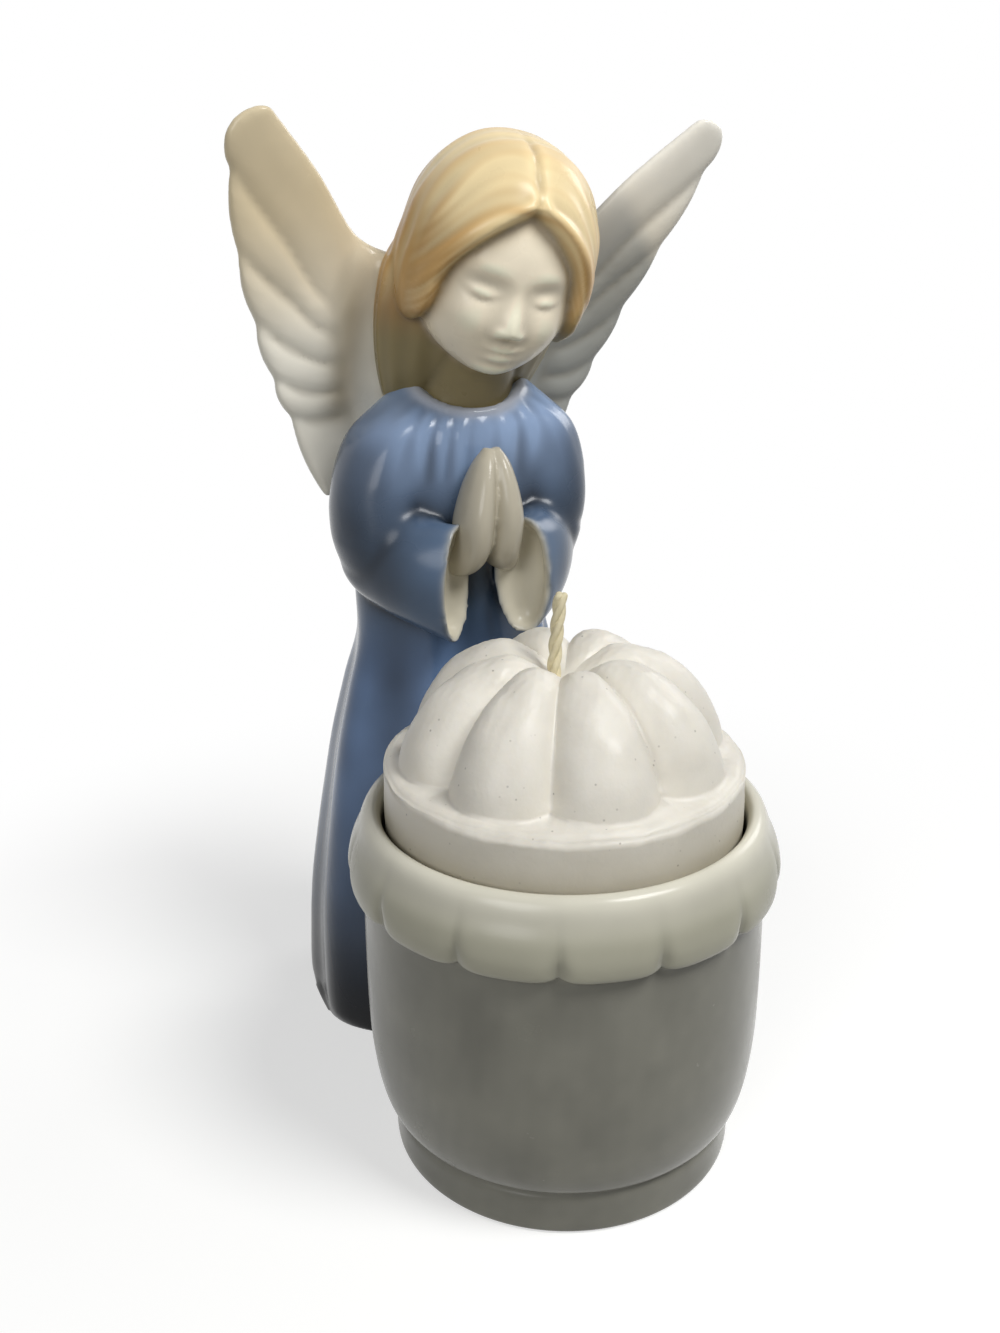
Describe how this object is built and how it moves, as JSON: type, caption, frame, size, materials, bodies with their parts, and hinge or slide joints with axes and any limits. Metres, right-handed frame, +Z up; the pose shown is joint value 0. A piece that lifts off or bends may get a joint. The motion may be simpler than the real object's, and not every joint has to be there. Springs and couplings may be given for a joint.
{
  "type": "angel candle holder",
  "caption": "Glazed porcelain candle holder: a praying angel stands behind a round cup with a scalloped collar, which holds a loose candle with a lobed dome.",
  "frame": {"origin": "on the plane it stands on, under the middle of the bounding box", "axes": "+Z up, -Y towards the front, where the cup is, +X to the angel's left hand"},
  "size_m": [0.0758, 0.0946, 0.1456],
  "materials": {
    "glazed_porcelain": "glossy glaze: blue robe, honey hair, ivory skin and wings, warm grey-white cup",
    "wax": "soft satin off-white wax with faint specks",
    "wick_cotton": "matte braided cotton"
  },
  "bodies": {
    "root": {"angel_with_cup": "glazed_porcelain", "candle": "wax", "wick": "wick_cotton"}
  },
  "joints": []
}
